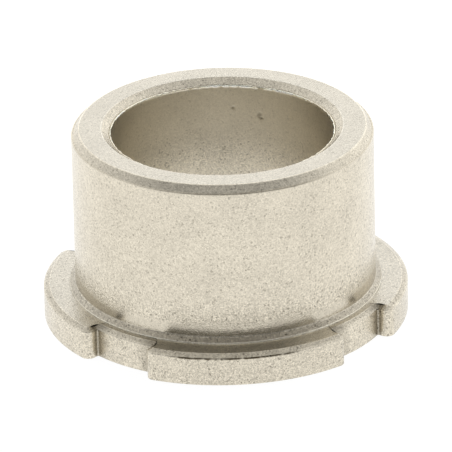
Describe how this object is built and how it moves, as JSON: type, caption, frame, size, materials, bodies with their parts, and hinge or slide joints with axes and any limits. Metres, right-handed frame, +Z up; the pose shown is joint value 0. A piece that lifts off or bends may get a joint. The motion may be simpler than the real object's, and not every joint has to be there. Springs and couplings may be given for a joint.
{
  "type": "axle bushing",
  "caption": "Flanged sintered-steel axle bushing: a plain cylindrical sleeve with a bevelled free end and a flat flange notched round its edge.",
  "frame": {"origin": "centre of the bore at the flange's flat underside", "axes": "+Z up the bore from the flange to the sleeve's free end, with the lugs of the flange along +X, -X, +Y and -Y"},
  "size_m": [0.0316, 0.0316, 0.0172],
  "materials": {
    "sintered_steel": "bare pressed and sintered steel, fine matt grain with small pores and worn edges"
  },
  "bodies": {
    "root": {"axle_bushing": "sintered_steel"}
  },
  "joints": []
}
